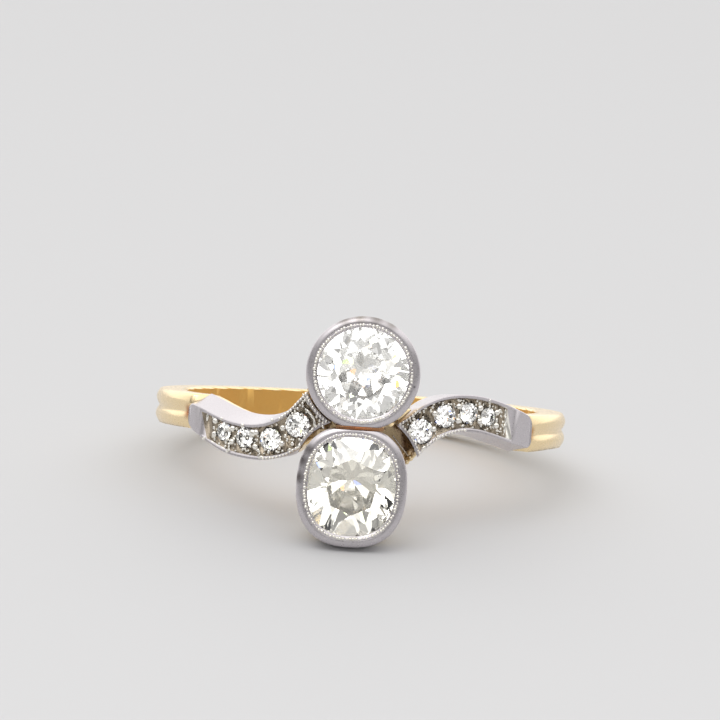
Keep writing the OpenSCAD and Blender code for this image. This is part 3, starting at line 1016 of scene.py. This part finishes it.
    def cut_floor(self, setting: Piece) -> None:
        """Gives the sunk field its graver-cut finish, painted darker as painted shade, and its
        raised grains a nearly white one as a painted highlight.

        Args:
            setting: the shoulder's piece, dressed in platinum.
        """
        for finish in (CUT_PLATINUM_PAINTED_SHADE, PLATINUM_PAINTED_HIGHLIGHT):
            setting.data.materials.append(finish.material())
        # Index 1 is painted shade on the sunk field and its outward walls, index 2 a painted
        # highlight on faces standing proud
        cut, bright = 1, 2
        cut_from, cut_to = self.cut_depth
        for face in setting.data.polygons:
            centre = TO_RING @ face.center
            degrees = abs(math.degrees(atan2(centre.x, -centre.y)))
            outward = Vector((centre.x, centre.y, 0)).normalized()
            normal = (LAID.to_3x3().inverted() @ face.normal).normalized()
            sunk = face_r(degrees) - centre.xy.length
            across, own_z = self.side.sign * centre.x, self.side.sign * centre.z
            in_field = self.is_inside(across, own_z, self.field_margin * BORDER_W)
            raised = sunk < -self.bright_over or (in_field and sunk < FIELD_DEPTH - self.floor_play)
            if degrees < self.bright_to_deg and raised:
                face.material_index = bright
            elif cut_from * FIELD_DEPTH < sunk < cut_to * FIELD_DEPTH and (
                in_field or normal.dot(outward) > self.cut_facing
            ):
                face.material_index = cut

    def build(self) -> None:
        """Builds the shoulder's piece and its milgrain."""
        node = f"{self.side.value}_shoulder"
        setting = merged_copy(node, f"{node}_setting")
        smooth_by_angle(setting, self.crease_deg)
        dress(setting, PLATINUM, "platinum", node)
        self.cut_floor(setting)
        places = [spot for row in self.rows for spot in self.edge_row(row)] + self.head_rows()
        milgrain = self.milgrain.beads(places, f"{node}_beads")
        grain = join_all([milgrain, *self.loose_grains()], f"{node}_milgrain")
        bpy.ops.object.transform_apply()
        settle(grain, TO_ROW)
        # The milgrain and the grains are dressed nearly white, a painted highlight
        dress(grain, PLATINUM_PAINTED_HIGHLIGHT, "platinum")


def facet(turn: float, tilt: float, height: float, reach: float, way: int) -> Plane:
    """Gives a facet that leans out of the level by a tilt, at a height and a reach, up or down."""
    flat, up = Vector((cos(turn), sin(turn), 0)), Vector((0, 0, way * cos(tilt)))
    return flat * reach + Vector((0, 0, height)), flat * sin(tilt) + up


@dataclass
class OldCut:
    """A main stone cut by hand: a blank in its bezel's outline, sawn to facets never quite even."""

    node: str
    bezel: Bezel
    finish: CutStone
    seed: int
    table: float = 0.54
    crown: float = 0.155
    pavilion: float = 0.43
    culet: float = 0.05
    culet_way: Spot = (0.02, 0.01, -1)
    girdle: float = 0.05
    fold: int = 8
    half_turn_deg: float = 11.25
    uneven_deg: float = 3.2
    crown_turn_deg: float = 1.5
    crown_half_deg: float = 41.5
    crown_half_play: float = 2
    star_deg: float = 21.0
    pavilion_turn_deg: float = -1.0
    pavilion_play: float = 1.1
    pavilion_half_deg: float = 1.9
    pavilion_half_play: float = 1.0
    break_deg: float = 3.2
    break_play: Span = (0.75, 1.25)
    breaks: tuple[Spot, ...] = ((22.5, 0.42, 1), (9, 0.2, 1.7))
    look_deg: int = 45
    blank_steps: int = 96

    @property
    def heights(self) -> Span:
        """Gives the crown's and the pavilion's height, which go by the stone's width."""
        width = 2 * self.bezel.shape.half_w
        return self.crown * width, self.pavilion * width

    def reach(self, turn: float) -> float:
        """Gives how far the girdle reaches in a direction."""
        way = Vector((cos(turn), sin(turn), 0))
        return max(
            self.bezel.shape.rim(turn + radians(d)).dot(way)
            for d in range(-self.look_deg, self.look_deg + 1)
        )

    def shaken(self, draw: random.Random, degrees: float) -> float:
        """Turns a facet a little off its even place and gives its angle in radians."""
        return radians(degrees + draw.uniform(-1, 1) * self.uneven_deg)

    def under(self, turn: float, lean: float, share: float = 1) -> Plane:
        """Gives a pavilion facet at a share of the reach, steeper by a lean in radians."""
        reach, deep = self.reach(turn), self.heights[1]
        return facet(
            turn, atan2(deep, reach) + lean, -self.girdle - deep * (1 - share), reach * share, -1
        )

    def planes(self) -> list[Plane]:
        """Lays out the facets: table and culet, then crown and pavilion all round, then the stars.

        Returns:
            A point of each facet and the way that it faces.
        """
        draw = random.Random(self.seed)
        top, deep = self.heights
        made = [
            (Vector((0, 0, top)), Vector((0, 0, 1))),
            (Vector((0, 0, (self.culet - 1) * deep - self.girdle)), Vector(self.culet_way)),
        ]
        corners = []
        for k in range(self.fold):
            even = 360 / self.fold * k
            turn = self.shaken(draw, even + self.crown_turn_deg)
            reach = self.reach(turn)
            made.append(facet(turn, atan2(top, reach * (1 - self.table)), 0, reach, 1))
            corners.append(Vector((cos(turn), sin(turn), 0)) * reach * self.table)
            turn = self.shaken(draw, even + self.pavilion_turn_deg)
            lean = draw.uniform(-self.pavilion_play, self.pavilion_play)
            made.append(self.under(turn, radians(lean)))
            for half in (-self.half_turn_deg, self.half_turn_deg):
                turn = self.shaken(draw, even + half)
                lean = draw.uniform(-self.crown_half_play, self.crown_half_play)
                tilt = radians(self.crown_half_deg + lean)
                made.append(facet(turn, tilt, 0, self.reach(turn), 1))
                turn = self.shaken(draw, even + half)
                lean = draw.uniform(-self.pavilion_half_play, self.pavilion_half_play)
                made.append(self.under(turn, radians(self.pavilion_half_deg + lean)))
            for past, share, ease in self.breaks:
                turn = self.shaken(draw, even + past)
                lean = ease * self.break_deg * draw.uniform(*self.break_play)
                made.append(self.under(turn, -radians(lean), share))
        tilt = radians(self.star_deg)
        for here, there in zip(corners, corners[1:] + corners[:1]):
            out = Vector((there.y - here.y, here.x - there.x, 0)).normalized()
            way = out * sin(tilt) + Vector((0, 0, cos(tilt)))
            made.append((here + Vector((0, 0, top)), way))
        return made

    def build(self) -> None:
        """Saws the stone out of its blank."""
        top, deep = self.heights
        bottom = -self.girdle - deep
        depth = top - bottom
        deselect_all()
        bpy.ops.mesh.primitive_cylinder_add(vertices=self.blank_steps, radius=1, depth=depth)
        piece = bpy.context.object
        piece.name = f"{self.node}_old_cut"
        for vertex in piece.data.vertices:
            rim = self.bezel.shape.rim(atan2(vertex.co.y, vertex.co.x))
            vertex.co = rim + Vector((0, 0, top if vertex.co.z > 0 else bottom))
        edit_all()
        for point, way in self.planes():
            bpy.ops.mesh.select_all(action="SELECT")
            bpy.ops.mesh.bisect(plane_co=point, plane_no=way, clear_outer=True, use_fill=True)
        bpy.ops.mesh.select_all(action="SELECT")
        bpy.ops.mesh.normals_make_consistent()
        bpy.ops.object.mode_set(mode="OBJECT")
        lift = Matrix.Translation((0, 0, BEZEL_H - self.bezel.girdle_drop))
        settle(piece, self.bezel.place @ lift)
        dress(piece, self.finish, "diamond", self.node)


@dataclass
class SmallStones:
    """The small stones of the shoulders, which keep the CAD's own facets."""

    finish: CutStone = WHITE_DIAMOND

    def build(self) -> None:
        """Gives every small stone its finish."""
        for name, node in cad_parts.items():
            if "_diamond_" in name:
                node.data.materials.clear()
                node.data.materials.append(self.finish.material())
                LOG.info("%s: %d faces", name, len(node.data.polygons))


class LampUse(Enum):
    """What a lamp is for."""

    EVERYTHING = "everything"
    STONES = "only what the stones throw back"
    FILL = "light without a glint in the metal"


@dataclass
class Softbox:
    """A rectangular lamp that looks at the ring."""

    name: str
    azimuth_deg: float
    elevation_deg: float
    distance_mm: float
    width_mm: float
    height_mm: float
    energy: float
    tint: str = "#FFFFFF"
    use: LampUse = LampUse.EVERYTHING

    def build(self) -> None:
        """Adds the lamp, aimed at the middle of the heads."""
        data = bpy.data.lights.new(self.name, "AREA")
        data.shape = "RECTANGLE"
        data.size, data.size_y = self.width_mm * MM, self.height_mm * MM
        data.energy = self.energy
        data.color = linear(self.tint)[:3]
        lamp = linked(self.name, data)
        turn, tilt = radians(self.azimuth_deg), radians(self.elevation_deg)
        level = cos(tilt)
        way = Vector((sin(turn) * level, -cos(turn) * level, sin(tilt)))
        middle = TO_ROW @ Vector((0, -RIM_R, 0))
        lamp.location = middle + way * self.distance_mm * MM
        lamp.rotation_euler = (-way).to_track_quat("-Z", "Y").to_euler()
        lamp.visible_glossy = self.use is LampUse.EVERYTHING
        lamp.visible_diffuse = self.use is not LampUse.STONES


# A soft lamp for the shadows and one to fill them, then those that only the stones pick up: pale
# screens with dark gaps between them, and small bright ones for fire
LAMPS = (
    Softbox("softbox_above", -35, 60, 500, 300, 250, 0.36),
    Softbox("fill_front", 6, 20, 420, 260, 90, 0.3, use=LampUse.FILL),
    *(Softbox(*sizes, LampUse.STONES) for sizes in (
        ("screen_left", -47, 14, 300, 190, 270, 0.215, "#FFFEFC"),
        ("screen_right", 44, 8, 300, 170, 240, 0.165, "#FBFCFF"),
        ("screen_top", 2, 43, 300, 210, 160, 0.165, "#FFFFFF"),
        ("screen_low", 4, -29, 300, 230, 140, 0.14, "#FFFDF6"),
        ("screen_front", -2, 7, 330, 185, 190, 0.1, "#FDFDFB"),
        ("spark_blue", -24, 34, 290, 44, 50, 0.016, "#4F7DFF"),
        ("spark_blue_low", 30, -16, 290, 36, 34, 0.012, "#6E96FF"),
        ("spark_orange", 25, 27, 290, 48, 40, 0.016, "#FF9A2A"),
        ("spark_yellow", -30, -14, 290, 50, 36, 0.018, "#FFCF50"),
        ("spark_green", 9, 29, 290, 26, 30, 0.007, "#A9C46B"),
    )),
)


@dataclass
class Studio:
    """The pale floor, the soft light and the camera."""

    distance: float = 230.0
    above_ring_deg: float = 2.6
    roll_deg: float = 3.7
    lens_mm: float = 238.05
    sensor_mm: float = 36.0
    centre_px: Span = (360.5, 416.5)
    picture_px: float = 720.0
    clip: Span = (0.01, 10)
    floor_m: float = 4.0
    floor_colour: str = "#C5C5C6"
    floor_roughness: float = 0.7
    floor_specular: float = 0.1
    light_colour: str = "#FFFEFD"
    front_level: float = 0.35
    back_level: float = 1.42
    back_from: Span = (-0.1, 0.8)
    sky_level: float = 1.35
    sky_from: Span = (0.35, 0.75)

    def camera(self) -> None:
        """Adds the camera at the photograph's viewing angle."""
        above, roll = radians(self.above_ring_deg), radians(self.roll_deg)
        at = self.distance * Vector((0, -cos(above), sin(above)))
        ahead = -at.normalized()
        right = ahead.cross(Vector((0, 0, 1))).normalized()
        up = right.cross(ahead)
        c, s = cos(roll), sin(roll)
        right, up = c * right + s * up, c * up - s * right
        focal_px = self.lens_mm / self.sensor_mm * self.picture_px
        across = (self.centre_px[0] - self.picture_px / 2) / focal_px
        down = (self.centre_px[1] - self.picture_px / 2) / focal_px
        ahead = (ahead - across * right + down * up).normalized()
        right = (right - ahead * ahead.dot(right)).normalized()
        up = right.cross(ahead)
        turned = Matrix((right, up, -ahead)).transposed().to_4x4()
        data = bpy.data.cameras.new("camera")
        data.lens, data.sensor_width, data.sensor_fit = self.lens_mm, self.sensor_mm, "HORIZONTAL"
        data.clip_start, data.clip_end = self.clip
        camera = linked("camera", data)
        placed = LAID @ Matrix.Translation(at) @ turned
        camera.matrix_world = Matrix.Translation(placed.translation * MM) @ placed.to_3x3().to_4x4()
        bpy.context.scene.camera = camera

    def floor(self) -> None:
        """Adds the pale floor that the ring lies on."""
        deselect_all()
        bpy.ops.mesh.primitive_plane_add(size=self.floor_m)
        floor = bpy.context.object
        floor.name = "floor"
        # White painted board: a matt, even grey white that takes soft shadows
        made = bpy.data.materials.new("white_painted_board")
        made.use_nodes = True
        shader = made.node_tree.nodes["Principled BSDF"]
        shader.inputs["Base Color"].default_value = linear(self.floor_colour)
        shader.inputs["Roughness"].default_value = self.floor_roughness
        shader.inputs["Specular IOR Level"].default_value = self.floor_specular
        floor.data.materials.append(made)

    def world(self) -> None:
        """Adds soft light from all round, bright from above and dim in front of the heads."""
        world = bpy.data.worlds.new("soft_light")
        bpy.context.scene.world = world
        world.use_nodes = True
        tree = world.node_tree
        tree.nodes.clear()
        way = add_node(tree, "TexCoord").outputs["Generated"]
        split = add_node(tree, "SeparateXYZ", links={"Vector": way})
        height = ramp(tree, split.outputs["Z"], self.sky_from, (0.0, 1.0))
        levels = self.front_level, self.back_level
        depth = ramp(tree, split.outputs["Y"], self.back_from, levels)
        level = add_node(tree, "Mix", {"B": self.sky_level}, {"Factor": height, "A": depth})
        light = add_node(
            tree, "Background", {"Color": linear(self.light_colour)},
            {"Strength": level.outputs["Result"]},
        )
        add_node(tree, "OutputWorld", links={"Surface": light.outputs["Background"]})

    def build(self) -> None:
        """Adds the camera, the floor and the lights."""
        self.camera()
        self.floor()
        self.world()
        for lamp in LAMPS:
            lamp.build()
        bpy.context.scene.view_settings.view_transform = "Standard"


# Beads and streaks of the left shoulder: on its rim, between its stones and along its inner end
LEFT_GRAINS = tuple(Grain(*sizes) for sizes in (
    (-45.05, -1.17, 0.06, 0.13, 60), (-35.5, -1.6, 0.07, 0.15, 55), (-24.9, -1.74, 0.07, 0.15, 75),
    (-44.8, -0.16, 0.085, 0.22, 8), (-42.4, -0.13, 0.08, 0.11), (-41.0, -0.34, 0.09, 0.11),
    (-41.9, -0.63, 0.08, 0.09), (-41.9, -0.99, 0.09, 0.14, 40), (-37.1, -0.85, 0.11, 0.12),
    (-37.0, -1.17, 0.08, 0.18), (-39.8, -0.51, 0.08, 0.1), (-36.2, -0.6, 0.08, 0.09),
    (-34.2, -1.08, 0.09, 0.14, -20), (-31.5, -0.83, 0.1, 0.1), (-29.7, -0.92, 0.09, 0.12),
    (-28.05, -0.67, 0.18, 0.19), (-31.1, -0.36, 0.09, 0.1), (-27.3, -1.26, 0.1, 0.13),
    (-26.3, -1.42, 0.09, 0.2, -50), (-25.4, -1.05, 0.09, 0.11), (-24.0, -1.35, 0.09, 0.1),
    (-23.0, -1.47, 0.08, 0.1), (-18.6, -0.66, 0.09, 0.1), (-16.6, -1.0, 0.09, 0.11),
    (-14.5, -1.06, 0.08, 0.1), (-14.1, 1.23, 0.045, 0.17, -32), (-13.5, 1.0, 0.045, 0.17, -28),
    (-12.8, 0.52, 0.07, 0.19, -48), (-11.9, 0.33, 0.07, 0.18, -40), (-11.2, 0.03, 0.07, 0.22, -12),
    (-10.8, 0.33, 0.06, 0.08), (-10.0, 0.16, 0.06, 0.08), (-8.9, -0.1, 0.06, 0.1, -40),
    (-11.6, -0.3, 0.07, 0.1), (-14.5, 0.79, 0.07, 0.09), (-16.4, 0.5, 0.08, 0.09),
    (-14.9, 0.35, 0.08, 0.09), (-13.6, -0.2, 0.08, 0.1), (-13.3, -0.62, 0.08, 0.1),
    (-38.6, -0.15, 0.07, 0.08), (-33.4, -0.55, 0.07, 0.09), (-21.3, -0.55, 0.08, 0.09),
    (-20.0, -1.25, 0.08, 0.1), (-39.6, -1.35, 0.06, 0.08), (-30.3, -1.25, 0.08, 0.1),
    (-22.3, 0.02, 0.07, 0.08),
))
# Those of the right shoulder, with the bright bar at the field's outer end, which is a painted
# highlight on a raised ridge
RIGHT_GRAINS = tuple(Grain(*sizes) for sizes in (
    (31.8, 1.34, 0.08, 0.1), (30.3, 1.01, 0.08, 0.09), (33.9, 0.95, 0.07, 0.09),
    (31.8, 0.76, 0.09, 0.1, 30), (38.2, 0.57, 0.08, 0.15, 10), (38.7, 0.34, 0.08, 0.12),
    (37.2, 0.29, 0.08, 0.11), (39.1, 1.04, 0.11, 0.12, 60), (41.5, 0.95, 0.07, 0.2),
    (41.7, 0.6, 0.08, 0.24), (41.5, 0.22, 0.08, 0.24), (24.3, 0.7, 0.09, 0.12),
    (25.5, 0.75, 0.08, 0.1), (23.9, 0.28, 0.08, 0.11), (17.5, 0.93, 0.07, 0.09),
    (18.2, 1.26, 0.07, 0.08), (22.3, 1.24, 0.08, 0.11), (19.6, -0.26, 0.08, 0.1),
    (16.0, -0.8, 0.1, 0.14, 35), (16.7, 0.32, 0.07, 0.1), (26.4, 1.31, 0.07, 0.09),
    (20.7, 1.3, 0.07, 0.1), (23.3, 0.95, 0.07, 0.1), (29.4, 0.42, 0.09, 0.1),
    (32.7, 0.35, 0.08, 0.1), (35.4, 1.25, 0.07, 0.1), (35.9, 0.62, 0.08, 0.1),
    (34.8, 1.5, 0.035, 0.1, 25), (12.9, 0.33, 0.06, 0.08), (12.2, -0.1, 0.06, 0.09),
    (13.8, 0.9, 0.05, 0.08),
))


def main() -> None:
    """Builds the scene."""
    logging.basicConfig(level=logging.INFO, format="%(name)s: %(message)s")
    Studio().build()
    Band().build()
    SolderSeam().build()
    Shoulder(
        Side.LEFT,
        (
            MilgrainRow(Edge.HOLLOW, 0.2, 0.39),
            MilgrainRow(Edge.HOLLOW, 0.27, 0.35, 0.24),
            MilgrainRow(Edge.ROUND, 0.15, 0.46),
        ),
        LEFT_GRAINS,
        lower_clear=0.22,
    ).build()
    Shoulder(
        Side.RIGHT,
        (MilgrainRow(Edge.HOLLOW, 0.2, 0.52), MilgrainRow(Edge.ROUND, 0.14, 0.25)),
        RIGHT_GRAINS,
        lower_clear=0.62,
    ).build()
    upper, lower = Bezel("upper_bezel", UPPER), Bezel("lower_bezel", LOWER)
    for bezel in (upper, lower):
        bezel.build()
    OldCut("upper_diamond", upper, WHITE_DIAMOND, 7).build()
    OldCut("lower_diamond", lower, WARM_DIAMOND, 3, pavilion=0.446, break_deg=1.6).build()
    SmallStones().build()


if __name__ == "__main__":
    main()
